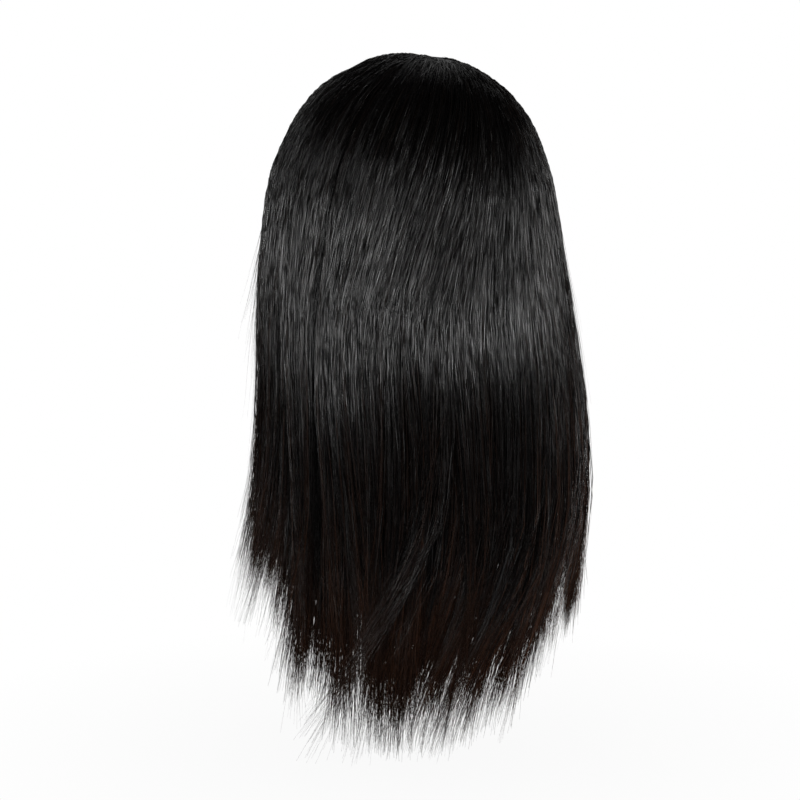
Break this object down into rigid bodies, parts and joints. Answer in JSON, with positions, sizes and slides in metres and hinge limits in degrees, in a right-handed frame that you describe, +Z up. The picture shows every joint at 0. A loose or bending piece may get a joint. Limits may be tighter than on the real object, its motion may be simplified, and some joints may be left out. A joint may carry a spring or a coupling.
{
  "type": "lace closure wig",
  "caption": "Long straight dark wig: layers of hair on wefts round a net cap, with a lace closure and centre parting at the crown, open below and before for the head and face.",
  "frame": {"origin": "the point inside the cap that sits on the top of the head", "axes": "+Z up, away from the head; the wearer faces -Y, so the back of the hair is +Y and +X is the wearer's left"},
  "size_m": [0.1931, 0.2042, 0.3666],
  "materials": {
    "net": "matte stretch net with sewn weft tape",
    "lace": "matte fine lace in a scalp brown",
    "hair": "silky off-black hair with a soft gloss, browner at the tips"
  },
  "bodies": {
    "root": {"cap": "net", "lace_closure": "lace", "closure_hair_left": "hair", "closure_hair_right": "hair", "crown_hair": "hair", "side_weft_hair_left": "hair", "side_weft_hair_right": "hair", "upper_back_weft_hair": "hair", "lower_back_weft_hair": "hair", "nape_weft_hair": "hair"}
  },
  "joints": []
}
